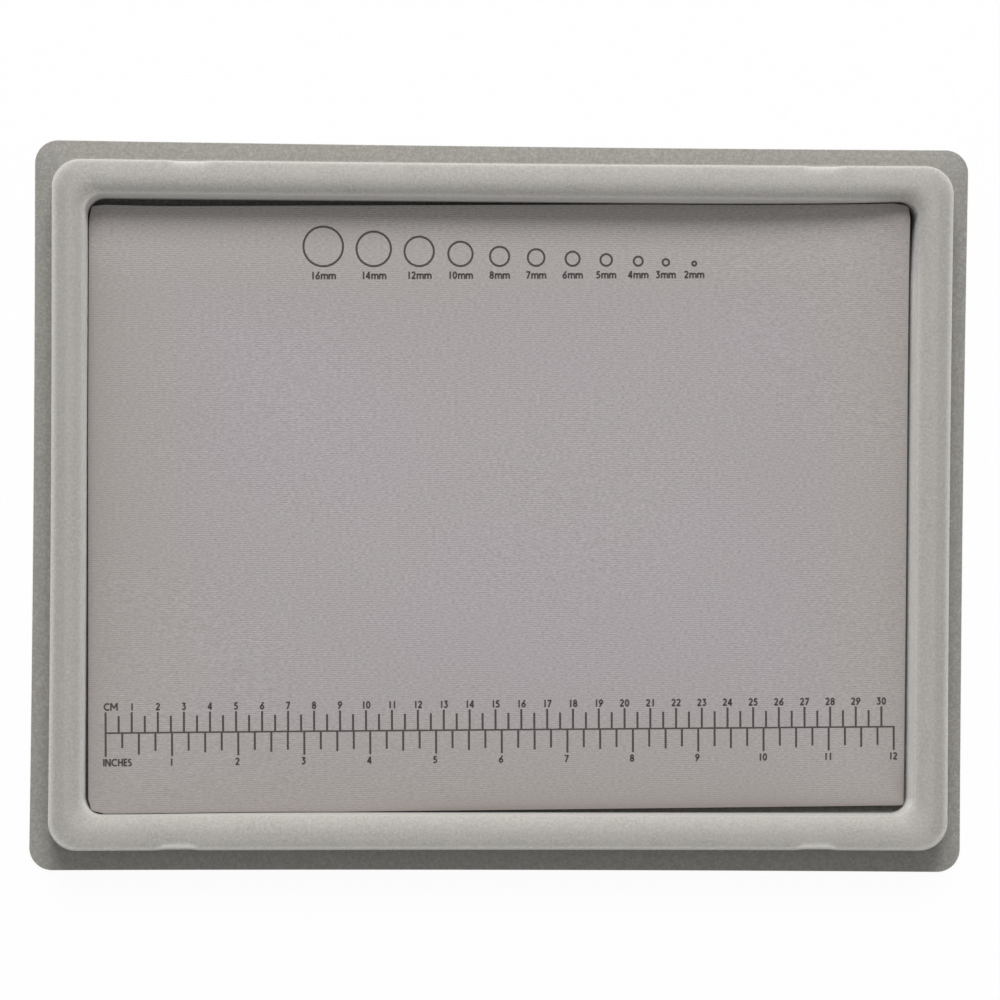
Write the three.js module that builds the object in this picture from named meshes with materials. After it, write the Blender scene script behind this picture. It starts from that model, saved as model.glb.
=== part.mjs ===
// A bead mat lying in its tray: a thin flocked tray with a raised rim, and a loose mat printed with a
// ruler and a row of bead sizes. Millimetres, +Z up, +X along the ruler. The origin is the middle of the
// tray's outline, on the surface that the tray lies on.
import * as THREE from 'three';

// Tray shell: one formed sheet, measured on its upper side. A rim edge's radius is the one under the sheet,
// and a rim root's radius is the one on top of the flock. The rim's highest line lies rimPeak out from the
// well's wall at the floor. Drafts and turns are in degrees: the rim stands a little askew in the trimmed
// outline, and the well's floor lies a little off the rim's middle.
const sheetThickness = 1.0;
const wellLength = 318.9;
const wellWidth = 236.6;
const wellCornerRadius = 7;
const wellDraft = 4;
const wellShiftX = -0.45;
const wellShiftY = -0.5;
const rimFootWidth = 13.35;
const rimHeight = 16.9;
const rimCornerRadius = 11;
const rimDraft = 3;
const rimTurn = 0.14;
const rimPeak = 7.1;
const crownInnerRadius = 8.5;
const crownOuterRadius = 16;
const rimEdgeRadius = 0.3;
const rimRootRadius = 0.8;
const flangeSide = 7.35;
const flangeFront = 9.15;
const flangeBack = 7.35;
const flangeCornerRadius = 9;

// Four shallow dents in the rim's outer edge, where a cover would snap on. Those at the back lie dentSkew
// towards +X, and those at the front as far towards -X.
const dentFromEnd = 51;
const dentLength = 16;
const dentRamp = 4;
const dentDepth = 0.4;
const dentSkew = 1.5;

// Flock on the whole upper side of the shell.
const pileHeight = 0.5;
const glueLine = 0.1;

// Loose mat: foam with a knitted face.
const matClearance = 0.5;
const seatClearance = 0.2;
const foamThickness = 2.0;
const knitThickness = 0.5;

// Print on the knitted face. It lies a little askew on the mat, and printShift to the right of its middle.
// The row of rings lies ringsShift further to the right and is turned by ringsTurn more. A ring's outer
// edge has the bead's size.
const inkThickness = 0.2;
const inkLine = 0.8;
const printTurn = 0.59;
const printShift = 0.3;
const ringsShift = 0.07;
const ringsTurn = 0.06;
const inch = 25.4;
const centimetre = 10;
const rulerMargin = 5;
const rulerFromFront = 31.5;
const wholeCentimetreTick = 7.6;
const halfCentimetreTick = 6.1;
const wholeInchTick = 8.6;
const halfInchTick = 7.3;
const quarterInchTick = 6.6;
const ringsFromBack = 24.2;
// Each bead size, with the gap from its ring to the next one.
const beadRings = [
  { bead: 16, gap: 4.4 },
  { bead: 14, gap: 4.5 },
  { bead: 12, gap: 4.9 },
  { bead: 10, gap: 6.1 },
  { bead: 8, gap: 6.6 },
  { bead: 7, gap: 7.6 },
  { bead: 6, gap: 7.5 },
  { bead: 5, gap: 7.9 },
  { bead: 4, gap: 7.2 },
  { bead: 3, gap: 8.5 },
  { bead: 2, gap: 0 },
];

// How finely curves are cut into straight steps.
const cornerSteps = 4;
const filletSteps = 2;
const crownSteps = 4;
const ringStep = 1.6;
const fewestRingSteps = 12;

// Worked out from the sizes above.
const degrees = Math.PI / 180;
const quarterTurn = Math.PI / 2;
const wellSlope = wellDraft * degrees;
const rimSlope = rimDraft * degrees;
const rimCentreY = (flangeFront - flangeBack) / 2;
const wellCentreY = rimCentreY + wellShiftY;
const trayHalfLength = wellLength / 2 + rimFootWidth + flangeSide;
const trayHalfWidth = (wellWidth + flangeFront + flangeBack) / 2 + rimFootWidth;
const flockOffset = glueLine + pileHeight;
const upperEdgeRadius = rimEdgeRadius + sheetThickness;
const upperRootRadius = rimRootRadius + flockOffset;
const matLength = wellLength - 2 * (flockOffset + matClearance);
const matWidth = wellWidth - 2 * (flockOffset + matClearance);
const matCornerRadius = wellCornerRadius;
const rulerInches = Math.floor((matLength - 2 * rulerMargin) / inch);

// Where a fillet of the rim's edge touches a wall that starts at foot and rises along direction,
// and the inside of a crown's circle. material points from the wall into the rim.
function edgeFilletCentre(foot, direction, material, crownCentre, crownRadius) {
  const start = foot.clone().addScaledVector(material, upperEdgeRadius).sub(crownCentre);
  const along = start.dot(direction);
  const reach = crownRadius - upperEdgeRadius;
  const travel = -along + Math.sqrt(along * along - start.lengthSq() + reach * reach);
  return start.addScaledVector(direction, travel).add(crownCentre);
}

// The centres of the arcs that make the rim's section. x is the distance out from the well's wall at the
// floor, y is the height.
function sectionCentres() {
  const innerFoot = new THREE.Vector2(0, sheetThickness);
  const outerFoot = new THREE.Vector2(rimFootWidth, sheetThickness);
  const innerRise = new THREE.Vector2(Math.sin(wellSlope), Math.cos(wellSlope));
  const outerRise = new THREE.Vector2(-Math.sin(rimSlope), Math.cos(rimSlope));
  const innerMaterial = new THREE.Vector2(Math.cos(wellSlope), -Math.sin(wellSlope));
  const outerMaterial = new THREE.Vector2(-Math.cos(rimSlope), -Math.sin(rimSlope));
  const innerCrown = new THREE.Vector2(rimPeak, rimHeight - crownInnerRadius);
  const outerCrown = new THREE.Vector2(rimPeak, rimHeight - crownOuterRadius);
  const rootHeight = sheetThickness + upperRootRadius;
  const innerRootX = upperRootRadius * (Math.tan(wellSlope) - 1 / Math.cos(wellSlope));
  const outerRootX = rimFootWidth - upperRootRadius * (Math.tan(rimSlope) - 1 / Math.cos(rimSlope));
  return {
    innerCrown,
    outerCrown,
    innerRoot: new THREE.Vector2(innerRootX, rootHeight),
    outerRoot: new THREE.Vector2(outerRootX, rootHeight),
    innerEdge: edgeFilletCentre(innerFoot, innerRise, innerMaterial, innerCrown, crownInnerRadius),
    outerEdge: edgeFilletCentre(outerFoot, outerRise, outerMaterial, outerCrown, crownOuterRadius),
  };
}

function arcPoints(centre, radius, fromAngle, toAngle, clockwise, steps) {
  return new THREE.ArcCurve(centre.x, centre.y, radius, fromAngle, toAngle, clockwise).getPoints(steps);
}

// The rim's section from the well's floor to the flange, moved out by offset from the sheet's upper side.
// Every offset gives the same number of points, so that layers lie on each other point by point.
function rimSection(offset) {
  const centres = sectionCentres();
  const innerAngle = centres.innerEdge.clone().sub(centres.innerCrown).angle();
  const outerAngle = centres.outerEdge.clone().sub(centres.outerCrown).angle();
  const innerRadius = crownInnerRadius + offset;
  const outerRadius = crownOuterRadius + offset;
  const rootRadius = upperRootRadius - offset;
  const edgeRadius = upperEdgeRadius + offset;
  return [
    ...arcPoints(centres.innerRoot, rootRadius, -quarterTurn, -wellSlope, false, filletSteps),
    ...arcPoints(centres.innerEdge, edgeRadius, Math.PI - wellSlope, innerAngle, true, filletSteps),
    ...arcPoints(centres.innerCrown, innerRadius, innerAngle, quarterTurn, true, crownSteps).slice(1),
    ...arcPoints(centres.outerCrown, outerRadius, quarterTurn, outerAngle, true, crownSteps).slice(1, -1),
    ...arcPoints(centres.outerEdge, edgeRadius, outerAngle, rimSlope, true, filletSteps),
    ...arcPoints(centres.outerRoot, rootRadius, Math.PI + rimSlope, 3 * quarterTurn, false, filletSteps),
  ];
}

// How much of the well's shift each point of the section takes: none from the rim's highest line
// outwards. Along X the whole inner wall takes it, along Y all at the floor and less further up.
function shiftShares() {
  return rimSection(0).map((point) => {
    const height = (point.y - sheetThickness) / (rimHeight - sheetThickness);
    const alongX = 1 - THREE.MathUtils.smoothstep(point.x, upperEdgeRadius, rimPeak);
    const alongY = point.x < rimPeak ? 1 - height : 0;
    return new THREE.Vector2(alongX, alongY);
  });
}

// How much of a dent each point of the section takes: all at the outer edge, none from the rim's highest
// line inwards and none at the foot of the outer wall.
function dentShares() {
  return rimSection(0).map((point) => {
    const outward = THREE.MathUtils.smoothstep(point.x, rimPeak, rimFootWidth - upperEdgeRadius);
    const upward = THREE.MathUtils.smoothstep(point.y, sheetThickness, rimHeight - upperEdgeRadius);
    return outward * upward;
  });
}

// Places along a long side where a dent starts or ends, from -X to +X, with the share of its depth there.
function dentStations() {
  const stations = [];
  for (const side of [-1, 1]) {
    const middle = side * (wellLength / 2 + rimFootWidth - dentFromEnd);
    stations.push({ x: middle - dentLength / 2, share: 0 });
    stations.push({ x: middle - dentLength / 2 + dentRamp, share: 1 });
    stations.push({ x: middle + dentLength / 2 - dentRamp, share: 1 });
    stations.push({ x: middle + dentLength / 2, share: 0 });
  }
  return stations;
}

// One level ring round the tray: a turned rectangle with round corners, dented on its long sides.
function trayRing(ring) {
  const points = [];
  const x = ring.halfLength - ring.radius;
  const y = ring.halfWidth - ring.radius;
  const stations = dentStations();
  const corner = (signX, signY, angle) => {
    const centre = new THREE.Vector2(signX * x, signY * y);
    points.push(...arcPoints(centre, ring.radius, angle, angle + quarterTurn, false, cornerSteps));
  };
  const longSide = (signY, places) => {
    for (const place of places) {
      const reach = ring.halfWidth - ring.dent * place.share;
      points.push(new THREE.Vector2(place.x + signY * dentSkew, signY * reach));
    }
  };
  corner(1, -1, -quarterTurn);
  corner(1, 1, 0);
  longSide(1, stations.toReversed());
  corner(-1, 1, quarterTurn);
  corner(-1, -1, Math.PI);
  longSide(-1, stations);
  const middle = new THREE.Vector2();
  return points.map((point) => {
    point.rotateAround(middle, ring.turn);
    return new THREE.Vector3(point.x + ring.centreX, point.y + ring.centreY, ring.z);
  });
}

// The rings of one side of a layer, from the edge of the well's floor to the edge of the flange.
function layerRings(offset) {
  const dents = dentShares();
  const shifts = shiftShares();
  const rings = rimSection(offset).map((point, index) => {
    const blend = point.x / rimFootWidth;
    return trayRing({
      halfLength: wellLength / 2 + point.x,
      halfWidth: wellWidth / 2 + point.x,
      radius: THREE.MathUtils.lerp(wellCornerRadius, rimCornerRadius, blend),
      centreX: wellShiftX * shifts[index].x,
      centreY: rimCentreY + wellShiftY * shifts[index].y,
      turn: rimTurn * degrees,
      dent: dentDepth * dents[index],
      z: point.y,
    });
  });
  const flangeEdge = {
    halfLength: trayHalfLength,
    halfWidth: trayHalfWidth,
    radius: flangeCornerRadius,
    centreX: 0,
    centreY: 0,
    turn: 0,
    dent: 0,
    z: sheetThickness + offset,
  };
  return [...rings, trayRing(flangeEdge)];
}

// A closed layer of the tray between two offsets from the sheet's upper side. Both sides are cut into the
// same triangles, so that the layer above or below it lies flat on it.
function trayLayer(lowerOffset, upperOffset) {
  const upper = layerRings(upperOffset);
  const lower = layerRings(lowerOffset);
  const count = upper[0].length;
  const vertices = [...upper, ...lower].flat();
  const lowerStart = upper.length * count;
  const edgeRing = lowerStart - count;
  const upperMiddle = vertices.length;
  const lowerMiddle = upperMiddle + 1;
  vertices.push(new THREE.Vector3(wellShiftX, wellCentreY, sheetThickness + upperOffset));
  vertices.push(new THREE.Vector3(wellShiftX, wellCentreY, sheetThickness + lowerOffset));
  const triangles = [];
  const quad = (a, b, c, d) => triangles.push(a, b, c, a, c, d);
  for (let index = 0; index < count; index += 1) {
    const next = (index + 1) % count;
    triangles.push(upperMiddle, index, next);
    triangles.push(lowerMiddle, lowerStart + next, lowerStart + index);
    for (let ring = 0; ring < edgeRing; ring += count) {
      const outer = ring + count;
      const below = ring + lowerStart;
      const outerBelow = outer + lowerStart;
      quad(ring + index, outer + index, outer + next, ring + next);
      quad(outerBelow + next, outerBelow + index, below + index, below + next);
    }
    const edgeBelow = edgeRing + lowerStart;
    quad(edgeRing + index, edgeBelow + index, edgeBelow + next, edgeRing + next);
  }
  const geometry = new THREE.BufferGeometry().setFromPoints(vertices);
  geometry.setIndex(triangles);
  return geometry;
}

function piece(name, geometry, color, roughness) {
  const material = new THREE.MeshStandardMaterial({ color, roughness, metalness: 0 });
  const mesh = new THREE.Mesh(geometry, material);
  mesh.name = name;
  return mesh;
}

function makeTray() {
  const tray = new THREE.Group();
  tray.add(piece('tray_shell', trayLayer(-sheetThickness, 0), 0x4a4946, 0.5));
  tray.add(piece('flock_pile', trayLayer(glueLine, flockOffset), 0xa5a29d, 1));
  return tray;
}

function matOutline() {
  const shape = new THREE.Shape();
  const x = matLength / 2 - matCornerRadius;
  const y = matWidth / 2 - matCornerRadius;
  shape.absarc(x, -y, matCornerRadius, -quarterTurn, 0);
  shape.absarc(x, y, matCornerRadius, 0, quarterTurn);
  shape.absarc(-x, y, matCornerRadius, quarterTurn, Math.PI);
  shape.absarc(-x, -y, matCornerRadius, Math.PI, 3 * quarterTurn);
  return shape;
}

function slab(shape, thickness) {
  return new THREE.ExtrudeGeometry(shape, {
    depth: thickness,
    bevelEnabled: false,
    curveSegments: cornerSteps,
  });
}

// The ruler's line with all its ticks as one comb: centimetres up, inches down. It starts at the origin.
function rulerOutline() {
  const half = inkLine / 2;
  const length = rulerInches * inch;
  const shape = new THREE.Shape();
  const tick = (place, height, direction) => {
    const level = direction * half;
    const end = direction * (half + height);
    shape.lineTo(place - direction * half, level);
    shape.lineTo(place - direction * half, end);
    shape.lineTo(place + direction * half, end);
    shape.lineTo(place + direction * half, level);
  };
  shape.moveTo(-half, 0);
  const halfCentimetres = Math.floor((2 * length) / centimetre);
  for (let step = 0; step <= halfCentimetres; step += 1) {
    const height = step % 2 === 0 ? wholeCentimetreTick : halfCentimetreTick;
    tick((step * centimetre) / 2, height, 1);
  }
  shape.lineTo(length + half, half);
  const inchTicks = [wholeInchTick, quarterInchTick, halfInchTick, quarterInchTick];
  for (let step = 4 * rulerInches; step >= 0; step -= 1) {
    tick((step * inch) / 4, inchTicks[step % 4], -1);
  }
  return shape;
}

function ringGeometry(bead) {
  const outer = bead / 2;
  const inner = outer - inkLine;
  const shape = new THREE.Shape();
  shape.absarc(0, 0, outer, 0, 2 * Math.PI);
  const hole = new THREE.Path();
  hole.absarc(0, 0, inner, 0, 2 * Math.PI, true);
  shape.holes.push(hole);
  const steps = Math.max(fewestRingSteps, Math.round((Math.PI * bead) / ringStep));
  return new THREE.ExtrudeGeometry(shape, {
    depth: inkThickness,
    bevelEnabled: false,
    curveSegments: Math.ceil(steps / 2),
  });
}

// The row of bead rings, all standing on one line, with its middle at the group's origin.
function makeBeadRings() {
  const row = new THREE.Group();
  const total = beadRings.reduce((sum, ring) => sum + ring.bead + ring.gap, 0);
  let left = -total / 2;
  for (const { bead, gap } of beadRings) {
    const ring = piece(`ring_${bead}mm`, ringGeometry(bead), 0x645f5c, 0.9);
    ring.position.set(left + bead / 2, bead / 2, 0);
    row.add(ring);
    left += bead + gap;
  }
  return row;
}

function makePrint() {
  const print = new THREE.Group();
  const ruler = piece('ruler_scale', slab(rulerOutline(), inkThickness), 0x645f5c, 0.9);
  ruler.position.set((-rulerInches * inch) / 2, rulerFromFront - matWidth / 2, 0);
  const rings = makeBeadRings();
  rings.position.set(ringsShift, matWidth / 2 - ringsFromBack, 0);
  rings.rotation.z = ringsTurn * degrees;
  print.add(ruler, rings);
  print.rotation.z = printTurn * degrees;
  return print;
}

function makeMat() {
  const mat = new THREE.Group();
  const foam = piece('mat_foam_base', slab(matOutline(), foamThickness), 0x8f8a86, 0.95);
  const knit = piece('mat_knit_face', slab(matOutline(), knitThickness), 0xa39e9b, 0.95);
  const print = makePrint();
  knit.position.z = foamThickness + glueLine;
  print.position.x = printShift;
  print.position.z = knit.position.z + knitThickness + glueLine;
  mat.add(foam, knit, print);
  mat.position.set(wellShiftX, wellCentreY, sheetThickness + flockOffset + seatClearance);
  mat.rotation.z = rimTurn * degrees;
  return mat;
}

const beadMat = new THREE.Group();
beadMat.add(makeTray(), makeMat());

export default beadMat;
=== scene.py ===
"""A bead mat lying in its flocked tray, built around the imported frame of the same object.

Lengths are in metres, +Z is up and +X runs along the printed ruler, as in the frame.
"""

import math

import bpy
import numpy as np
from bpy.props import FloatProperty, FloatVectorProperty, PointerProperty
from mathutils import Matrix, Vector


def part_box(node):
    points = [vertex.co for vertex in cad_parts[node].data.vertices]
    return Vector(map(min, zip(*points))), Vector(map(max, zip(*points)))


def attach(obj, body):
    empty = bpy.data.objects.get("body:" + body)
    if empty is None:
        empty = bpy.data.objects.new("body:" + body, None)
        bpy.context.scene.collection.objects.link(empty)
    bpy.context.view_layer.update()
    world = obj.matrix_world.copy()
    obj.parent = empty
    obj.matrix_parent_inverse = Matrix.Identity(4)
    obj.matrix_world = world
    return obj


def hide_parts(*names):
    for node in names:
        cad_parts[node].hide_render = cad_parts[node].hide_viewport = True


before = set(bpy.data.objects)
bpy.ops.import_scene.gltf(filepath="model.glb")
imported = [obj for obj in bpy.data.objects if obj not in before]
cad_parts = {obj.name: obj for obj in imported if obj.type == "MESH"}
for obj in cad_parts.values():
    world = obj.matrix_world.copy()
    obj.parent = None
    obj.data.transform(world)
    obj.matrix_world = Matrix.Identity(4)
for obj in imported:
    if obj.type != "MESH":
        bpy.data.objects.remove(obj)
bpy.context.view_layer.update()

bl_info = {
    "name": "Bead mat in a flocked tray",
    "version": (1, 0, 0),
    "blender": (4, 5, 0),
    "location": "3D View > Sidebar > Bead Mat",
    "description": "Builds a flocked bead tray, its printed mat and a plain studio stage",
    "category": "Object",
}

MM = 0.001
INCH = 25.4 * MM
CENTIMETRE = 10 * MM
QUARTER = math.pi / 2
TINY = 1e-9
SHARP_ANGLE = math.radians(40)
RING_NODES = sorted(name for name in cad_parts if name.startswith("ring_"))

# Steps of the tray's rings: across the rim, then around it
ROOT_STEPS, WALL_STEPS, EDGE_STEPS, CROWN_STEPS, CUT_STEPS = 6, 5, 8, 14, 3
CORNER_STEPS, SHORT_STEPS, DENT_STEPS, BETWEEN_STEPS, END_STEPS = 20, 9, 30, 16, 4
FLOOR_STRIP = np.array([-9, -5, -3]) * MM

# Steps of the mat and its print
MAT_EDGE_STEPS, MAT_CORNER_STEPS, MAT_SHORT_STEPS, MAT_LONG_STEPS = 4, 8, 44, 60
MAT_INSETS = np.array([*range(112, 8, -6), 6, 4, 2]) * MM
LEAST_CORNER = 0.4 * MM
BASE_STEPS, CIRCLE_STEPS, STROKE_STEPS = 120, 64, 12

# Slow waves of the mat: turns along X and along Y in radians for each metre, and a start
WAVES = [(31, 9, 0.8), (-14, 37, 2.1)]

# What balances the bow of the outer wall and of the mat, and the tip's give along Y for each along X
BOW_REST, MAT_BOW_REST = np.array([0.4, 0.0]), 0.25
TIP_GIVE_Y = 0.4

# Bands of the pile in millimetres: up from the floor, up from the rim's top, out from the well's wall and
# out from the highest line
WALL_UP, SHADE_UP, RISE_UP = (1.5, 5), (0.6, 3.2), (0.3, 1.5)
CROWN_UP = (-1.9, -0.5)
SHADE_OUT, FOOT_OUT = (-9, -3), (-2.5, 0)
PEAK_OUT, CREST_OUT = (-0.5, 1.5), (3.2, 5)
INNER_REACH = 1.5

# Strengths of the pile's painted highlight and painted shade. A pair is an amount for all sides and what a
# mask adds to it: facing the back, a dent, the mat's tip or a short side
INNER_HIGHLIGHT, WALL_HIGHLIGHT, OUTER_HIGHLIGHT = (0.735, 0.7), (1.1475, 0.2975), (1.1, -0.65)
DENT_HIGHLIGHT, DENT_REACH = (0.8, 0.7), (1.0, 0.8)
TIP_HIGHLIGHT = (1.0, -0.8)
RIM_SHADE_IN, RIM_SHADE_OUT, RIM_SHADE_FRONT, RIM_SHADE_TIP = 0.39, 0.95, 0.5, 0.9
LESS_SHADE_BACK, LESS_SHADE_FRONT, LESS_SHADE_RIGHT, TIP_WALL_SHADE = 0.8, 0.5, 0.2, 0.255
FLANGE_SHADE, FLANGE_SHADE_FRONT = (0.82, 0.18), 0.06

# Where the mat presses harder in front, as a part of the well's width
PRESS_PART = (0.45, 0.48)

# Sides of the knit as parts of its length or width, and how much its painted shade darkens it there
BACK_PART, RIGHT_PART, FRONT_PART, MIDDLE_PART = (0.34, 0.47), (0.3, 0.45), (0.4, 0.45), (-0.2, 0)
BORDER_SHADE, MARGIN_SHADE, ROLL_SHADE, TIP_SHADE = 0.45, 0.6, 1.1, 0.9
BACK_SHADE, RIGHT_SHADE = (1.0, -0.7), (1.0, -0.4)
HEART_REACH = 10

# Where the units' names start from the ruler's zero, and how far the floor lies under the tray
CM_START, INCHES_START = -0.7 * MM, -1.0 * MM
FLOOR_DROP = 0.2 * MM

# The knit's rows: their pitch, how far they wander in radians, how fast that and their strength change for
# each metre, and the stitches' rate, slant and least strength
ROW_PITCH = 0.78 * MM
WANDER, WANDER_RATE, SHOWN_RATE = 2.2, 90.0, 260.0
STITCH_RATE, STITCH_SLANT, STITCH_LEAST = 1.25, 0.5, 0.72

# Shares of the finishes' colours: fine and coarse fibre tips, brushed patches, rows of the knit, the
# painted shade at its border and patches of the foam
FINE_TIPS, COARSE_TIPS, BRUSHED, ROWS, BORDER, FOAM_PATCH = 0.4, 0.6, 0.4, 0.55, 0.6, 0.3
FUZZ_DARK, FUZZ_LIGHT, FUZZ_STRETCH = -0.21, 0.445, 0.3


# Properties


def length(name, description, millimetres):
    """A length, given in millimetres and kept in metres."""
    metres = millimetres * MM
    return FloatProperty(name=name, description=description, default=metres, unit="LENGTH", precision=5)


def turn(name, description, degrees):
    """An angle, given in degrees and kept in radians."""
    radians = math.radians(degrees)
    return FloatProperty(name=name, description=description, default=radians, subtype="ANGLE")


def share(name, description, value):
    """A part of one."""
    return FloatProperty(name=name, description=description, default=value, min=0, max=1, subtype="FACTOR")


def colour(name, description, *screen):
    """A colour given by its screen values from 0 to 255 and kept in linear light."""
    value = np.array(screen) / 255
    linear = np.where(value <= 0.04045, value / 12.92, ((value + 0.055) / 1.055) ** 2.4).tolist()
    return FloatVectorProperty(
        name=name, description=description, default=linear, size=3, min=0, max=1, subtype="COLOR"
    )


def place(name, description, *metres):
    """A point in metres."""
    return FloatVectorProperty(
        name=name, description=description, default=metres, size=3, subtype="XYZ", unit="LENGTH"
    )


class TraySizes(bpy.types.PropertyGroup):
    """The formed sheet, measured on its upper side, and the flock on it."""

    sheet: length("Sheet", "Thickness of the formed sheet", 1.0)
    well_length: length("Well length", "Well along X at its floor", 318.9)
    well_width: length("Well width", "Well along Y at its floor", 236.6)
    well_corner: length("Well corner", "Corner radius of the well at its floor", 7)
    well_draft: turn("Well draft", "Lean of the well's wall", 4)
    well_x: length("Well X", "Middle of the well's floor along X", -0.45)
    well_y: length("Well Y", "Middle of the well's floor along Y", 0.4)
    give: length("Give", "How far the well's wall gives way where two corners of the mat press on it", 0.9)
    give_reach: length("Give reach", "Distance over which the give fades", 50)
    tip_give: length("Tip give", "Further give in the back right corner, around the mat's tip", 1.2)
    tip_reach: length("Tip reach", "Distance over which the tip's give fades", 14)
    rim_foot: length("Rim foot", "Width of the raised rim at its foot", 13.35)
    rim_height: length("Rim height", "Top of the rim above the table", 16.9)
    rim_corner: length("Rim corner", "Corner radius of the rim's outer wall", 11)
    rim_draft: turn("Rim draft", "Lean of the rim's outer wall", 3)
    rim_turn: turn("Rim turn", "Turn of the rim in the trimmed outline", 0.14)
    rim_centre: length("Rim centre", "Middle of the rim along Y", 0.9)
    bow: length("Bow", "How far the corners of the outer wall and the flange stand out", 0.45)
    lean: length("Lean", "How far the corners of the outer wall and the flange lie out of square", 0.2)
    peak: length("Peak", "From the well's wall at its floor out to the rim's highest line", 7.1)
    crown_in: length("Inner crown", "Radius of the rim's top inside its highest line", 8.5)
    crown_out: length("Outer crown", "Radius of the rim's top outside its highest line", 16)
    edge: length("Edge radius", "Radius where the sheet's crown meets a wall", 1.3)
    pile_edge: length("Pile edge", "Radius of the flock over an edge", 1.3)
    root: length("Root radius", "Radius where a wall meets a floor", 1.4)
    flange_corner: length("Flange corner", "Corner radius of the trimmed outline", 9)
    cut_edge: length("Cut edge", "Rounding of the trimmed edge", 0.25)
    dent_from_end: length("Dent from end", "From the rim's end to a dent's middle", 51)
    dent_length: length("Dent length", "Length of a dent along the rim", 18)
    dent_ramp: length("Dent ramp", "Length over which a dent deepens", 5)
    dent_depth: length("Dent depth", "Depth of a dent in the rim's outer edge", 0.35)
    dent_skew: length("Dent skew", "How far the left dents lie to +X at the back, to -X in front", 1.5)
    glue: length("Glue line", "Glue between the sheet and the flock", 0.1)
    pile: length("Pile", "Height of the flock", 0.5)


class MatSizes(bpy.types.PropertyGroup):
    """The loose mat and how it lies in the well."""

    length: length("Length", "Long side of the cut mat", 316.3)
    width: length("Width", "Short side of the cut mat", 233.6)
    corner: length("Corner radius", "Corner radius of the cut mat", 1.0)
    shift: length("Shift", "From the well's middle to the mat's along X", -0.24)
    row_turn: turn("Row turn", "Turn of the mat's long edges", 0.87)
    column_turn: turn("Column turn", "Mean turn of the mat's short edges", 0.32)
    column_spread: turn("Column spread", "More turn on the left edge and less on the right", 0.17)
    bow: length("Bow", "How far the ends of the mat's right edge lie in from its middle", 0.3)
    pull: length("Pull", "How far the mat's back left corner is drawn out along Y", 0.7)
    pull_reach: length("Pull reach", "Distance over which the pull fades", 18)
    wall_gap: length("Wall gap", "Least distance from a pressed edge to the flock", 0.5)
    foam_edge: length("Foam edge", "Rounding of the foam's cut edges", 0.5)
    knit_edge: length("Knit edge", "Rounding of the knit's cut edges", 0.2)
    swell: length("Swell", "Height of the mat's slow waves", 0.2)
    corner_lift: length("Corner lift", "Rise of the two corners that press on the wall", 2.5)
    tip_lift: length("Tip lift", "Further rise of the mat's back right tip", 3.0)
    # The next three lengths set the reach of the knit's painted shade; the roll is painted shade only, the
    # mesh's front edge does not roll off
    border: length("Border", "Distance over which the knit darkens close to its edge", 6)
    roll: length("Roll", "Distance over which the knit darkens where its front edge rolls off", 2.5)
    margin: length("Margin", "Distance over which the knit darkens slowly towards its edge", 55)


class PrintSizes(bpy.types.PropertyGroup):
    """The printed ruler, rings and figures."""

    turn: turn("Turn", "Turn of the print in the frame", 0.73)
    shift: length("Shift", "From the well's middle to that of the print along X", 0.3)
    line: length("Line", "Width of ticks and rings", 0.8)
    ring_scale: share("Ring scale", "Printed part of a bead's size across a ring", 0.975)
    ring_growth: length("Ring growth", "How much the ink spreads across a ring", 0.4)
    base_line: length("Base line", "Width of the ruler's long line", 0.62)
    film: length("Film", "Height of the ink on the knit", 0.05)
    ruler_length: length("Ruler length", "From zero to the last inch", 304.8)
    ruler_drop: length("Ruler drop", "From the well's middle to the ruler's line, towards -Y", 85.7)
    whole_centimetre: length("Whole centimetre", "Tick from the line", 7.95)
    half_centimetre: length("Half centimetre", "Tick from the line", 6.5)
    whole_inch: length("Whole inch", "Tick from the line", 9.05)
    half_inch: length("Half inch", "Tick from the line", 7.75)
    quarter_inch: length("Quarter inch", "Tick from the line", 7.0)
    first_half: length("First half inch", "Tick from the line, printed long", 8.3)
    first_quarter: length("First quarter inch", "Tick from the line, printed short", 5.8)
    figure: length("Figure height", "Height of the ruler's figures", 2.8)
    above: length("Above", "From a centimetre tick to its figure", 0.65)
    below: length("Below", "From an inch tick to its figure", 0.9)
    inch_shift: length("Inch shift", "From an inch tick to its figure's middle, towards -X", 0.35)
    word: length("Word height", "Height of the names of the units", 2.86)
    label: length("Label height", "Height of a ring label's figures", 2.85)
    label_drop: length("Label drop", "From a ring's foot to its label's middle", 3.2)
    stroke: share("Stroke", "Width of a stroke as a part of the figure's height", 0.23)


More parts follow.
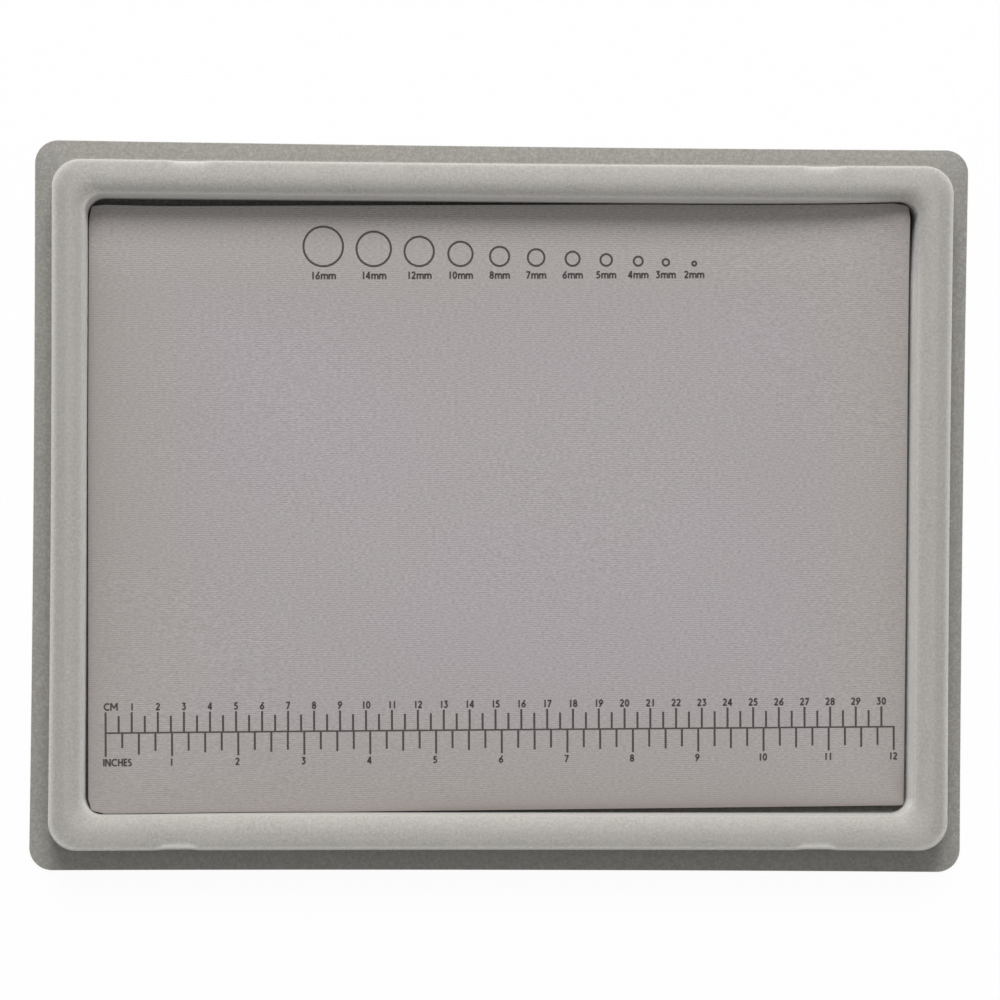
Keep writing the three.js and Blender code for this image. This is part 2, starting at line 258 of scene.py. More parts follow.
class Finishes(bpy.types.PropertyGroup):
    """The colours of the tray, the mat and the stage."""

    flock_deep: colour("Flock, deep", "Between the fibres", 152, 149, 144)
    flock_tip: colour("Flock, tips", "Fibre tips", 195, 192, 187)
    flock_brushed: colour("Flock, brushed", "Patches where the pile leans", 184, 181, 176)
    # Painted shade on the crown of the short sides, the front's inner crown and inside the rim near the
    # mat's tip
    flock_napped: colour("Flock, short sides", "Pile that leans across the light", 158, 155, 150)
    # Painted shade on the flange, more on the short sides and less in front
    flock_flat: colour("Flock, flange", "Pile that is pressed flat", 140, 138, 132)
    # Painted highlight on edges, the well's wall, dents and the cut edge
    flock_worn: colour("Flock, edges", "Pile that opens over an edge or on the well's wall", 218, 215, 210)
    # Painted shade in the gap where the well's wall meets its floor
    flock_shade: colour("Flock, corner", "Dense pile where the well's wall meets its floor", 86, 84, 80)
    knit_groove: colour("Knit, grooves", "Between the rows", 149, 144, 142)
    knit_grey: colour("Knit, grey", "Rows of the plain grey cast", 198, 193, 189)
    knit_mauve: colour("Knit, mauve", "Rows of the mauve cast", 200, 192, 202)
    # Painted shade towards the knit's cut edge
    knit_border: colour("Knit, border", "Knit near its cut edge", 146, 139, 136)
    ink: colour("Ink", "Print on the rows", 62, 58, 57)
    ink_thin: colour("Ink, thin", "Print in the grooves", 84, 79, 77)
    foam_dark: colour("Foam, cells", "Cell walls of the foam", 98, 94, 91)
    foam_light: colour("Foam, skin", "Cut foam between the cells", 128, 123, 119)
    sheet_dark: colour("Sheet, dark", "Formed sheet", 70, 69, 66)
    sheet_light: colour("Sheet, light", "Rubbed high spots of the sheet", 84, 83, 80)
    floor: colour("Floor", "Table under the tray", 240, 240, 240)


class StageSettings(bpy.types.PropertyGroup):
    """The camera and the lights."""

    camera: place("Camera", "Place of the camera", -0.0864, 0.0325, 1.598)
    look: place("Look", "Direction of view", 0.0538, -0.0182, -0.9984)
    up: place("Up", "Top of the picture", -0.0079, 0.9998, -0.0187)
    lens: FloatProperty(
        name="Lens", description="Focal length in millimetres on a 36 mm sensor", default=148.9
    )
    key: place("Key light", "Place of the key light", -0.12, 3.68, 3.083)
    key_width: length("Key width", "Key light along X", 2800)
    key_height: length("Key height", "Key light across X", 2500)
    key_power: FloatProperty(
        name="Key power", description="Power of the key light", default=217.5, unit="POWER"
    )
    fill: FloatProperty(name="Fill", description="Strength of the light from all around", default=0.42)
    floor_size: length("Floor", "Side of the floor", 8000)
    floor_white: share("Floor white", "Part of the floor's white that holds no shadow", 0.95)


# Shapes


def as_points(*parts):
    """Joins coordinate arrays along a new last axis."""
    return np.stack(np.broadcast_arrays(*parts), axis=-1)


def at_height(flat, height):
    """Points of a plane, each with its height."""
    return as_points(flat[..., 0], flat[..., 1], height)


def turned(points, angle):
    """Points of a plane turned about its origin: the usual rotation by cosine and sine."""
    x, y = points[..., 0], points[..., 1]
    cosine, sine = math.cos(angle), math.sin(angle)
    return as_points(x * cosine - y * sine, x * sine + y * cosine)


def smooth_step(value, low, high):
    """0 below low, 1 above high, and 3t squared minus 2t cubed between."""
    part = np.clip((value - low) / (high - low), 0, 1)
    return part * part * (3 - 2 * part)


def bell(distance, reach):
    """1 at no distance, falling as exp of minus the square of distance over reach."""
    return np.exp(-((distance / reach) ** 2))


def by_mask(amounts, mask):
    """The first amount, plus the second times a mask."""
    return amounts[0] + amounts[1] * mask


def directions(rings):
    """Unit directions along closed rings: from the point before to the point after."""
    along = np.roll(rings, -1, axis=1) - np.roll(rings, 1, axis=1)
    return along / np.linalg.norm(along, axis=-1, keepdims=True)


def arc(centre, radius, first, last, steps):
    """Points of a circle: its centre plus radius times cosine and sine of equal angle steps."""
    angle = np.linspace(first, last, steps + 1)
    return as_points(centre[0] + radius * np.cos(angle), centre[1] + radius * np.sin(angle))


def straight(first, last, steps):
    """Points between two points or numbers, without the two, in equal steps."""
    return np.linspace(first, last, steps + 1)[1:-1]


def rim_half(tray, draft, reach, crown, offset, edge):
    """Half of the rim's section, from a wall's foot to the highest line, as distance in from that foot and
    height, and the middle of its edge. Arcs for the root, the edge and the crown touch the straight wall
    and each other: the edge's arc sits inset from the wall and from the crown's circle, found as a line
    that meets a circle."""
    rise = np.array([math.sin(draft), math.cos(draft)])
    inset = edge - offset
    middle = np.array([reach, tray.rim_height - crown])
    start = np.array([math.cos(draft), -math.sin(draft)]) * inset + (0, tray.sheet) - middle
    along = start @ rise
    corner = start + rise * (math.sqrt(along**2 - start @ start + (crown - inset) ** 2) - along)
    angle = math.atan2(corner[1], corner[0])
    root = (tray.root * (math.tan(draft) - 1 / math.cos(draft)), tray.sheet + tray.root)
    foot = arc(root, tray.root - offset, -QUARTER, -draft, ROOT_STEPS)
    rounded = arc(middle + corner, edge, math.pi - draft, angle, EDGE_STEPS)
    crest = arc(middle, crown + offset, angle, QUARTER, CROWN_STEPS)[1:]
    wall = straight(foot[-1], rounded[0], WALL_STEPS)
    return np.concatenate([foot, wall, rounded, crest]), rounded[EDGE_STEPS // 2]


def rim_section(tray, offset, edge):
    """The rim's section from the well's floor to the flange, as distance out from the well's wall and
    height, and the middles of its inner and outer edge: a strip of floor, one half, and the other half
    mirrored. offset is how far it stands off the sheet's upper side, and edge is the radius of its
    edges."""
    floor = as_points(FLOOR_STRIP, tray.sheet + offset)
    inner, inner_edge = rim_half(tray, tray.well_draft, tray.peak, tray.crown_in, offset, edge)
    beyond = tray.rim_foot - tray.peak
    outer, outer_edge = rim_half(tray, tray.rim_draft, beyond, tray.crown_out, offset, edge)
    mirror, foot = np.array([-1, 1]), np.array([tray.rim_foot, 0])
    section = np.concatenate([floor, inner, (foot + mirror * outer)[-2::-1]])
    return section, inner_edge, foot + mirror * outer_edge


def round_rectangles(half, radius, long_places, short_steps, corner_steps):
    """Rectangles with round corners, one for each row of half and radius, counter-clockwise from the
    corner at +X -Y: quarter circles joined by points on the sides. The long sides take points at the X of
    long_places, given for all rows alike or for each."""
    quarter = np.linspace(0, QUARTER, corner_steps + 1)
    radius = radius[:, None]
    core = half - radius
    short = straight(-1, 1, short_steps)
    parts = []
    for step, (sign_x, sign_y) in enumerate([(1, -1), (1, 1), (-1, 1), (-1, -1)]):
        angle = quarter + (step - 1) * QUARTER
        corner_x = sign_x * core[:, :1] + radius * np.cos(angle)
        parts.append(as_points(corner_x, sign_y * core[:, 1:] + radius * np.sin(angle)))
        if step % 2 == 0:
            parts.append(as_points(sign_x * half[:, :1], sign_x * short * core[:, 1:]))
        else:
            parts.append(as_points(-sign_y * long_places, sign_y * half[:, 1:]))
    return np.concatenate(parts, axis=1)


def well_half(tray):
    """Half the length and width of the well's floor."""
    return np.array([tray.well_length, tray.well_width]) / 2


def well_middle(tray, part):
    """The middle of a level ring that takes a part of the well's shift along X and along Y."""
    floor_y = tray.well_y - tray.rim_centre
    return as_points(tray.well_x * part[..., 0], tray.rim_centre + floor_y * part[..., 1])


def corner_radius(tray, out):
    """A ring's corner radius, which grows evenly from the well's wall to the outer wall."""
    return tray.well_corner + (tray.rim_corner - tray.well_corner) * out / tray.rim_foot


def dent_middle(tray):
    """How far a dent's middle lies from the tray's, along X."""
    return tray.well_length / 2 + tray.rim_foot - tray.dent_from_end


def dent_places(tray):
    """Points along a long side, close together in each dent. They end short of the smallest ring's
    corners."""
    middle = dent_middle(tray)
    shade_band = tray.dent_length / 2 + tray.dent_skew
    inside = np.linspace(-shade_band, shade_band, DENT_STEPS + 1)
    between = straight(shade_band - middle, middle - shade_band, BETWEEN_STEPS)
    last = tray.well_length / 2 + FLOOR_STRIP[0] - tray.well_corner
    end = straight(middle + shade_band, last, END_STEPS)
    return np.concatenate([-end[::-1], inside - middle, between, inside + middle, end])


def dent_shape(tray, x, side):
    """How deep the dents are, from 0 to 1, at X on the back (side 1) or the front (side -1): a smooth ramp
    up, a flat and a smooth ramp down."""
    from_middle = np.abs(x - side * tray.dent_skew * (x < 0)) - dent_middle(tray)
    return np.abs(side) * smooth_step(tray.dent_length / 2 - np.abs(from_middle), 0, tray.dent_ramp)


def corner_bells(tray, points, reach):
    """How near points of the well's plane lie to its back right and its front left corner, where the mat
    presses on the wall: a bell of the distance to each."""
    away = [np.linalg.norm(points - sign * well_half(tray), axis=-1) for sign in (1, -1)]
    return bell(np.stack(away), reach)


def wall_give(tray, points):
    """How far the wall at points of the well's plane gives way at its floor: along Y near both pressed
    corners, and along both axes close around the mat's back right tip."""
    back_right, front_left = corner_bells(tray, points, tray.give_reach)
    tip = tray.tip_give * corner_bells(tray, points, tray.tip_reach)[0]
    return as_points(tip, tray.give * (back_right - front_left) + TIP_GIVE_Y * tip)


def splay(tray, points):
    """How far points of the outer wall and the flange stray from a true rectangle: each coordinate grows
    with its own part of the half side times the square of the other's, less a rest, which bows the sides
    in between their corners, and leans by the other's part."""
    part = points / (well_half(tray) + tray.rim_foot)
    other = part[..., ::-1]
    return tray.bow * part * (other**2 - BOW_REST) + tray.lean * other


def tray_rings(tray, offset, edge):
    """Level rings of one side of the tray, from the well's floor to the trimmed edge, and how deep the
    dents are around the rim. The section's points give each ring's height and how far it lies out from the
    well's wall. The flange ends in a small quarter round."""
    out, height = rim_section(tray, offset, edge)[0].T
    outward = smooth_step(out, tray.peak, tray.rim_foot - tray.edge)
    upward = smooth_step(height, tray.sheet, tray.rim_height - tray.edge)
    down = 1 - np.clip((height - tray.sheet) / (tray.rim_height - tray.sheet), 0, 1)
    shift = as_points(1 - smooth_step(out, tray.edge, tray.peak), down * (out < tray.peak))
    half = well_half(tray) + out[:, None]
    radius = corner_radius(tray, out)
    places = dent_places(tray)
    flat = round_rectangles(half, radius, places, SHORT_STEPS, CORNER_STEPS)
    side = np.sign(flat[..., 1]) * (np.abs(flat[..., 1]) > (half - radius[:, None])[:, 1:])
    dent = dent_shape(tray, flat[..., 0], side)
    flat[..., 1] -= side * tray.dent_depth * (outward * upward)[:, None] * dent
    flat += wall_give(tray, flat) * shift[:, None, 1:] + splay(tray, flat) * outward[:, None, None]
    flat = turned(flat, tray.rim_turn) + well_middle(tray, shift)[:, None]
    low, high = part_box("flock_pile")
    outline = np.array([high.x - low.x, high.y - low.y]) / 2
    angle = np.linspace(0, QUARTER, CUT_STEPS + 1)
    inset = tray.cut_edge * (1 - np.sin(angle))
    drop = tray.cut_edge * (1 - np.cos(angle)) * (offset > 0)
    half = outline - inset[:, None]
    trim = round_rectangles(half, tray.flange_corner - inset, places, SHORT_STEPS, CORNER_STEPS)
    trim += splay(tray, trim)
    level = tray.sheet + offset - drop
    return np.concatenate([at_height(flat, height[:, None]), at_height(trim, level[:, None])]), dent


def pile_masks(tray, offset, edge):
    """How the pile's painted light changes over the rings of its upper side. A painted highlight lies on
    the inner edge, the well's wall, the outer edge, in a band that widens in a dent, and on the cut edge.
    Painted shade lies between the wall and the floor, on the crown of the short sides and the front's inner
    crown, and on the flange. Each is a band of the section times a strength by side: facing is 1 along the
    back, -1 along the front and 0 on a short side. Around the mat's tip the wall has less highlight and
    more shade."""
    section, inner_edge, outer_edge = rim_section(tray, offset, edge)
    rings, dent = tray_rings(tray, offset, edge)
    out = section[:, 0] / MM
    up = (section[:, 1] - tray.sheet - offset) / MM
    past_peak = out - tray.peak / MM

    def banded(values, at_cut=0):
        """Values of the section as a column for all rings, with one value at the cut edge."""
        return np.append(values, np.full(CUT_STEPS + 1, at_cut))[:, None]

    along = directions(rings)
    facing, rightward = -along[..., 0], along[..., 1]
    short, front = rightward**2, np.maximum(-facing, 0)
    tip = corner_bells(tray, rings[..., :2], tray.tip_reach)[0]
    inner = banded(bell(np.linalg.norm(section - inner_edge, axis=1) / MM, INNER_REACH))
    wall = banded(smooth_step(up, *WALL_UP) * (section[:, 0] < inner_edge[0]))
    away = np.linalg.norm(section - outer_edge, axis=1)[:, None] / MM
    cut = smooth_step(np.sin(np.linspace(0, QUARTER, CUT_STEPS + 1)), 0, 1)[:, None]
    outer = by_mask(DENT_HIGHLIGHT, dent) * bell(away, by_mask(DENT_REACH, dent))
    outer = np.concatenate([outer, np.repeat(cut, dent.shape[1], axis=1)])
    # Painted highlight: stronger at the back on the inner edge and wall, stronger in front on the outer
    # edge, weaker around the mat's tip
    inner_highlight = np.maximum(inner * by_mask(INNER_HIGHLIGHT, facing), wall * by_mask(WALL_HIGHLIGHT, facing))
    painted_highlight = np.maximum(inner_highlight * by_mask(TIP_HIGHLIGHT, tip), outer * by_mask(OUTER_HIGHLIGHT, facing))
    # Painted shade at the wall's foot: less up the back wall and on the front and right floor, more up the
    # wall near the mat's tip
    shade_band = (1 - smooth_step(up, *SHADE_UP)) * smooth_step(out, *SHADE_OUT) * (past_peak < 0)
    less_shade = LESS_SHADE_BACK * banded(smooth_step(up, *RISE_UP)) * np.maximum(facing, 0)
    less_shade += banded(smooth_step(out, *FOOT_OUT)) * np.maximum(LESS_SHADE_FRONT * front, LESS_SHADE_RIGHT * rightward)
    deep = np.maximum(banded(shade_band) * (1 - less_shade), TIP_WALL_SHADE * wall * tip)
    # Painted shade on the crown of the short sides and the front's inner crown, and inside the rim near the
    # mat's tip
    crown = smooth_step(up - (tray.rim_height - tray.sheet) / MM, *CROWN_UP)
    beyond = smooth_step(past_peak, *PEAK_OUT)
    nap = RIM_SHADE_IN * banded(crown * (1 - beyond)) * np.maximum(short, RIM_SHADE_FRONT * front)
    nap += RIM_SHADE_OUT * banded(crown * beyond * (1 - smooth_step(past_peak, *CREST_OUT))) * short
    inside = banded(1 - smooth_step(section[:, 0], tray.edge, tray.peak))
    # Painted shade on the flange, more on the short sides and less in front
    on_flange = smooth_step(section[:, 0], tray.rim_foot - tray.edge, tray.rim_foot + tray.root)
    flat = banded(on_flange * (up < tray.root / MM), 1) * (by_mask(FLANGE_SHADE, short) - FLANGE_SHADE_FRONT * front)
    return {"painted_highlight": painted_highlight, "deep": deep, "nap": np.maximum(nap, RIM_SHADE_TIP * inside * tip), "flat": flat}


def loft(rings):
    """A closed skin over level rings with equal numbers of points: quads between neighbouring rings,
    and a fan from the first and the last ring to its middle."""
    rows, columns = rings.shape[:2]
    vertices = np.concatenate([rings.reshape(-1, 3), rings[[0, -1]].mean(axis=1)])
    index = np.arange(rows * columns).reshape(rows, columns)
    after = np.roll(index, -1, axis=1)
    quads = as_points(index[:-1], index[1:], after[1:], after[:-1]).reshape(-1, 4)
    first = as_points(rows * columns, index[0], after[0])
    last = as_points(rows * columns + 1, after[-1], index[-1])
    return vertices, quads, np.concatenate([first, last])


def tray_layer(tray, lower, upper, upper_edge):
    """A closed layer of the tray between two offsets from the sheet's upper side: the rings of its upper
    side outwards, then those of its lower side inwards."""
    top = tray_rings(tray, upper, upper_edge)[0]
    bottom = tray_rings(tray, lower, tray.edge + lower)[0]
    return loft(np.concatenate([top, bottom[::-1]]))


def mat_swell(tray, mat, points):
    """How much higher the mat lies than on a flat floor: two slow crossing waves, a bell-shaped rise at
    the two corners that press on the wall, and a narrower one at the back right tip."""
    x, y = points[..., 0], points[..., 1]
    waves = [np.sin(x_rate * x + y_rate * y + start) for x_rate, y_rate, start in WAVES]
    lift = mat.corner_lift * corner_bells(tray, points, tray.give_reach).sum(axis=0)
    tip = mat.tip_lift * corner_bells(tray, points, tray.tip_reach)[0]
    return mat.swell * (np.mean(waves, axis=0) + 1) / 2 + lift + tip


def pressed(tray, mat, points, level, inset):
    """Points of the mat beyond the well's wall moved straight back to it. At each point's own level the
    wall is a round rectangle: past its core, a point's distance to the core is cut to the corner radius.
    Along the front, where the mat presses harder, half the gap is left."""
    up = level - tray.sheet
    part = as_points(1.0, 1 - up / (tray.rim_height - tray.sheet))
    middle = well_middle(tray, part)
    local = turned(points - middle, -tray.rim_turn)
    give = wall_give(tray, local) * part[..., 1:]
    local -= give
    gap = mat.wall_gap * (1 - smooth_step(-local[..., 1] / tray.well_width, *PRESS_PART) / 2)
    out = up * math.tan(tray.well_draft) - (tray.glue + tray.pile) / math.cos(tray.well_draft) - gap
    radius = np.maximum(corner_radius(tray, out) - inset, LEAST_CORNER)
    core = well_half(tray) + (out - inset - radius)[..., None]
    beyond = np.maximum(np.abs(local) - core, 0)
    kept = np.minimum(1, radius / np.maximum(np.linalg.norm(beyond, axis=-1), TINY))
    local = np.sign(local) * (np.minimum(np.abs(local), core) + beyond * kept[..., None])
    return turned(local + give, tray.rim_turn) + middle


def mat_layer(tray, mat, low, high, edge):
    """A closed layer of the mat between two heights: outlines shrink towards the middle on both faces,
    and the two edges are quarter rounds. Rows and columns of the mat are turned by their own small
    angles, its right edge bows, one corner is drawn out, the outline is pressed into the well, and the
    whole follows the mat's swell. With it comes each point's distance in from the cut edge."""
    angle = np.linspace(0, QUARTER, MAT_EDGE_STEPS + 1)
    inset = np.append(MAT_INSETS, edge * (1 - np.sin(angle)))
    drop = np.append(0 * MAT_INSETS, edge * (1 - np.cos(angle)))
    level = np.append(high - drop, low + drop[::-1])[:, None]
    inset = np.append(inset, inset[::-1])
    half = np.array([mat.length, mat.width]) / 2 - inset[:, None]
    radius = np.maximum(mat.corner - inset, LEAST_CORNER)
    places = straight(-1, 1, MAT_LONG_STEPS) * (half - radius[:, None])[:, :1]
    outline = round_rectangles(half, radius, places, MAT_SHORT_STEPS, MAT_CORNER_STEPS)
    x, y = outline[..., 0], outline[..., 1]
    lean = mat.column_turn - mat.column_spread * 2 * x / mat.length
    from_corner = np.linalg.norm(outline - np.array([-mat.length, mat.width]) / 2, axis=-1)
    pull = mat.pull * bell(from_corner, mat.pull_reach)
    ease = mat.bow * np.maximum(2 * x / mat.length, 0) * ((2 * y / mat.width) ** 2 - MAT_BOW_REST)
    lying_x = tray.well_x + mat.shift + x - ease - y * np.tan(lean)
    lying = as_points(lying_x, tray.well_y + y + x * math.tan(mat.row_turn) + pull)
    lying = pressed(tray, mat, lying, level + mat_swell(tray, mat, lying), inset[:, None])
    inward = np.append(np.repeat(inset, lying.shape[1]), [inset[0], inset[-1]])
    return *loft(at_height(lying, level + mat_swell(tray, mat, lying))), inward


def knit_masks(tray, mat, points, inward):
    """Where the knit takes painted shade and where it takes its mauve cast. The painted shade falls as exp
    of minus the distance in from its edge, over the border and over the wider margin, less at the back and
    right, more along the right half of its front edge, whose roll-off the mesh does not have, and at the
    lifted tip.
    The cast grows away from the edge."""
    x, y = points[:, 0] / mat.length, points[:, 1] / mat.width
    # Painted shade towards the edge, less at the back and right
    border = BORDER_SHADE * np.exp(-inward / mat.border) + MARGIN_SHADE * np.exp(-inward / mat.margin)
    border *= by_mask(BACK_SHADE, smooth_step(y, *BACK_PART))
    border *= by_mask(RIGHT_SHADE, smooth_step(x, *RIGHT_PART))
    front = smooth_step(-y, *FRONT_PART) * smooth_step(x, *MIDDLE_PART)
    # Painted shade along the right half of the front edge and at the lifted tip
    border += ROLL_SHADE * front * np.exp(-inward / mat.roll)
    tip = TIP_SHADE * corner_bells(tray, points[:, :2], tray.tip_reach)[0]
    heart = smooth_step(inward, mat.border, HEART_REACH * mat.border)
    return {"border": np.maximum(border, tip), "heart": heart}


def print_middle(tray, ink):
    """The middle of the print, about which it is turned."""
    return np.array([tray.well_x + ink.shift, tray.well_y])


def strips(paths, width, tray, mat, ink, closed=False):
    """A flat rectangular profile carried along paths on the mat: left and right of each path's point by
    half the width across its direction, at the bottom and the top of the ink. Paths are rows of
    equally many points in the print's own plane."""
    if closed:
        along = directions(paths)
    else:
        along = np.gradient(paths, axis=1)
        along /= np.linalg.norm(along, axis=-1, keepdims=True)
    across = as_points(-along[..., 1], along[..., 0]) * width / 2
    sides = np.stack([paths + across, paths - across, paths - across, paths + across], axis=2)
    placed = turned(sides, ink.turn) + print_middle(tray, ink)
    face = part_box("mat_knit_face")[1].z
    level = face + ink.film * np.array([1, 1, -1, -1])
    vertices = at_height(placed, level + mat_swell(tray, mat, placed))
    count, steps = paths.shape[:2]
    index = np.arange(count * steps * 4).reshape(count, steps, 4)
    here = index if closed else index[:, :-1]
    after = np.roll(index, -1, axis=1) if closed else index[:, 1:]
    quads = as_points(here, np.roll(here, -1, axis=2), np.roll(after, -1, axis=2), after)
    ends = np.zeros((0, 4), int)
    if not closed:
        ends = np.concatenate([index[:, 0, ::-1], index[:, -1]])
    return vertices.reshape(-1, 3), quads.reshape(-1, 4), ends


# Figures. A stroke is a path in a box whose height is 1, with its foot on 0.


def line(x0, y0, x1, y1):
    """A straight stroke."""
    return np.linspace((x0, y0), (x1, y1), STROKE_STEPS + 1)


def stem(x):
    """An upright stroke of full height."""
    return line(x, 0, x, 1)


def bar(x0, x1, y):
    """A level stroke."""
    return line(x0, y, x1, y)


def bow(x, y, wide, high, first, last):
    """A stroke on an ellipse about (x, y), between two angles in degrees."""
    angle = np.radians(np.linspace(first, last, STROKE_STEPS + 1))
    return as_points(x + wide * np.cos(angle), y + high * np.sin(angle))


def oval(x, y, wide, high):
    """A whole ellipse in two strokes."""
    return [bow(x, y, wide, high, 0, 180), bow(x, y, wide, high, 180, 360)]


SIX = oval(0.3, 0.31, 0.21, 0.225) + [line(0.5, 1.0, 0.13, 0.42)]
TWO_BOW = bow(0.27, 0.7, 0.2, 0.215, 165, -40)
THREE_BOW = bow(0.24, 0.335, 0.22, 0.25, 95, -145)
FIVE_BOW = bow(0.23, 0.335, 0.22, 0.25, 125, -145)
S_BOWS = [bow(0.25, 0.715, 0.165, 0.2, 35, 235), bow(0.25, 0.285, 0.175, 0.2, 55, -145)]
M_BOWS = [bow(x, 0.455, 0.2, 0.185, 180, 0) for x in (0.29, 0.69)]

# Each sign's width and strokes
SIGNS = {
    "0": (0.6, oval(0.3, 0.5, 0.21, 0.41)),
    "1": (0.48, [stem(0.3)]),
    "2": (0.56, [TWO_BOW, line(0.45, 0.6, 0.08, 0.06), bar(0.03, 0.55, 0.085)]),
    "3": (0.55, [bar(0.05, 0.5, 0.915), line(0.46, 0.92, 0.22, 0.56), THREE_BOW]),
    "4": (0.6, [stem(0.42), line(0.42, 0.96, 0.06, 0.27), bar(0, 0.58, 0.29)]),
    "5": (0.55, [bar(0.5, 0.11, 0.915), line(0.15, 0.93, 0.12, 0.5), FIVE_BOW]),
    "6": (0.6, SIX),
    "7": (0.56, [bar(0.02, 0.54, 0.915), line(0.5, 0.94, 0.16, 0)]),
    "8": (0.6, oval(0.3, 0.725, 0.17, 0.19) + oval(0.3, 0.295, 0.21, 0.21)),
    "9": (0.6, [np.array([0.6, 1.0]) - stroke for stroke in SIX]),
    "C": (0.8, [bow(0.48, 0.5, 0.39, 0.415, 50, 180), bow(0.48, 0.5, 0.39, 0.415, 180, 310)]),
    "E": (0.5, [stem(0.1), bar(0.1, 0.48, 0.915), bar(0.1, 0.44, 0.51), bar(0.1, 0.48, 0.085)]),
    "H": (0.7, [stem(0.1), stem(0.6), bar(0.1, 0.6, 0.51)]),
    "I": (0.2, [stem(0.1)]),
    "M": (1.02, [stem(0.1), line(0.12, 0.98, 0.51, 0.32), line(0.9, 0.98, 0.51, 0.32), stem(0.92)]),
    "N": (0.76, [stem(0.1), line(0.11, 0.97, 0.65, 0.03), stem(0.66)]),
    "S": (0.5, [S_BOWS[0], line(0.15, 0.57, 0.36, 0.42), S_BOWS[1]]),
    "m": (0.98, [line(0.09, 0, 0.09, 0.72), *M_BOWS, line(0.49, 0, 0.49, 0.47), line(0.89, 0, 0.89, 0.47)]),
}
SIGN_GAP = 0.13
LETTER_GAP = 0.07


def sign_row(text, height, x, y, centred=True):
    """The strokes of a line of signs of one height: each sign stands after the widths and gaps of those
    before it, and the row starts at x or has its middle there. Its foot is at y."""
    widths = np.array([SIGNS[sign][0] for sign in text])
    gaps = np.array([SIGN_GAP if sign.isdigit() else LETTER_GAP for sign in text])
    starts = np.concatenate([[0], np.cumsum(widths + gaps)])
    first = x - height * (starts[-1] - gaps[-1]) / 2 if centred else x
    return [
        stroke * height + (first + height * start, y)
        for sign, start in zip(text, starts)
        for stroke in SIGNS[sign][1]
    ]


# Pieces


def make_piece(name, body, slot, finish, vertices, *faces):
    """A mesh from whole arrays, shaded smooth but for its sharp edges, riding on a body."""
    mesh = bpy.data.meshes.new(name)
    mesh.from_pydata(vertices.tolist(), [], [face for block in faces for face in block.tolist()])
    mesh.shade_smooth()
    mesh.set_sharp_from_angle(angle=SHARP_ANGLE)
    mesh.materials.append(finish)
    piece = bpy.data.objects.new(name, mesh)
    bpy.context.scene.collection.objects.link(piece)
    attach(piece, body)
    return piece


def set_masks(piece, masks):
    """Keeps the values of each mask on the piece's first points, for its finish, and 0 on the rest."""
    for name, value in masks.items():
        values = np.zeros(len(piece.data.vertices))
        values[: value.size] = value.ravel()
        piece.data.attributes.new(name, "FLOAT", "POINT").data.foreach_set("value", values)


def ring_places(tray, ink):
    """Each ring's middle in the print's own plane and its bead size, from the frame."""
    boxes = np.array([[corner[:2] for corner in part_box(name)] for name in RING_NODES])
    middles = turned(boxes.mean(axis=1) - print_middle(tray, ink), -ink.turn)
    return middles, boxes[:, 1, 0] - boxes[:, 0, 0]


# Finishes


def add_node(tree, kind, inputs=None, **settings):
    """A node of a tree with its settings. An input takes a value or another node's output."""
    node = tree.nodes.new("ShaderNode" + kind)
    for name, value in settings.items():
        setattr(node, name, value)
    for name, value in (inputs or {}).items():
        if isinstance(value, bpy.types.NodeSocket):
            tree.links.new(value, node.inputs[name])
        else:
            node.inputs[name].default_value = value
    return node


def calculate(tree, operation, first, second=0.0, clamp=False):
    """The output of one sum."""
    return add_node(tree, "Math", {0: first, 1: second}, operation=operation, use_clamp=clamp).outputs[0]


def times(tree, first, second, clamp=False):
    """The output of one product."""
    return calculate(tree, "MULTIPLY", first, second, clamp)


def between(tree, mask, first, second):
    """A colour between two, by a mask. Each is another node's output or a property's colour."""
    ends = [end if isinstance(end, bpy.types.NodeSocket) else (*end, 1.0) for end in (first, second)]
    return add_node(tree, "Mix", {0: mask, 6: ends[0], 7: ends[1]}, data_type="RGBA").outputs[2]


def rescale(tree, value, low, high, new_low=0.0, new_high=1.0):
    """A value moved from one range to another, held inside it."""
    ranges = {"Value": value, "From Min": low, "From Max": high, "To Min": new_low, "To Max": new_high}
    return add_node(tree, "MapRange", ranges).outputs[0]


def spread(tree, value, at_0, at_1):
    """A value that goes from 0 to 1, moved between two others."""
    return rescale(tree, value, 0.0, 1.0, at_0, at_1)


def noise(tree, where, scale, detail=1.0, roughness=0.5):
    """The value of a cloudy noise."""
    inputs = {"Vector": where, "Scale": scale, "Detail": detail, "Roughness": roughness}
    return add_node(tree, "TexNoise", inputs).outputs[0]


def point_mask(tree, name):
    """The value of a mask that is kept on the piece's points."""
    return add_node(tree, "Attribute", attribute_name=name).outputs["Fac"]


def new_group(name, inputs, outputs):
    """An empty node group with named sockets, and its two ends. Its first input is a place."""
    group = bpy.data.node_groups.new(name, "ShaderNodeTree")
    group.interface.new_socket(name="Vector", in_out="INPUT", socket_type="NodeSocketVector")
    for label in inputs:
        group.interface.new_socket(name=label, in_out="INPUT", socket_type="NodeSocketFloat")
    for label in outputs:
        group.interface.new_socket(name=label, in_out="OUTPUT", socket_type="NodeSocketFloat")
    return group, group.nodes.new("NodeGroupInput").outputs, group.nodes.new("NodeGroupOutput").inputs


def fleck_group():
    """Fine flecks and slow patches of a pile, a foam or a rubbed skin, at sizes given in metres."""
    group, given, result = new_group("Flecks and patches", ["Fleck Size", "Patch Size"], ["Fleck", "Patch"])
    kinds = {"Fleck": (2.0, 0.6, 0.25, 0.75), "Patch": (3.0, 0.55, 0.3, 0.7)}
    for kind, (detail, roughness, low, high) in kinds.items():
        scale = calculate(group, "DIVIDE", 1.0, given[f"{kind} Size"])
        grain = noise(group, given["Vector"], scale, detail, roughness)
        group.links.new(rescale(group, grain, low, high), result[kind])
    return group


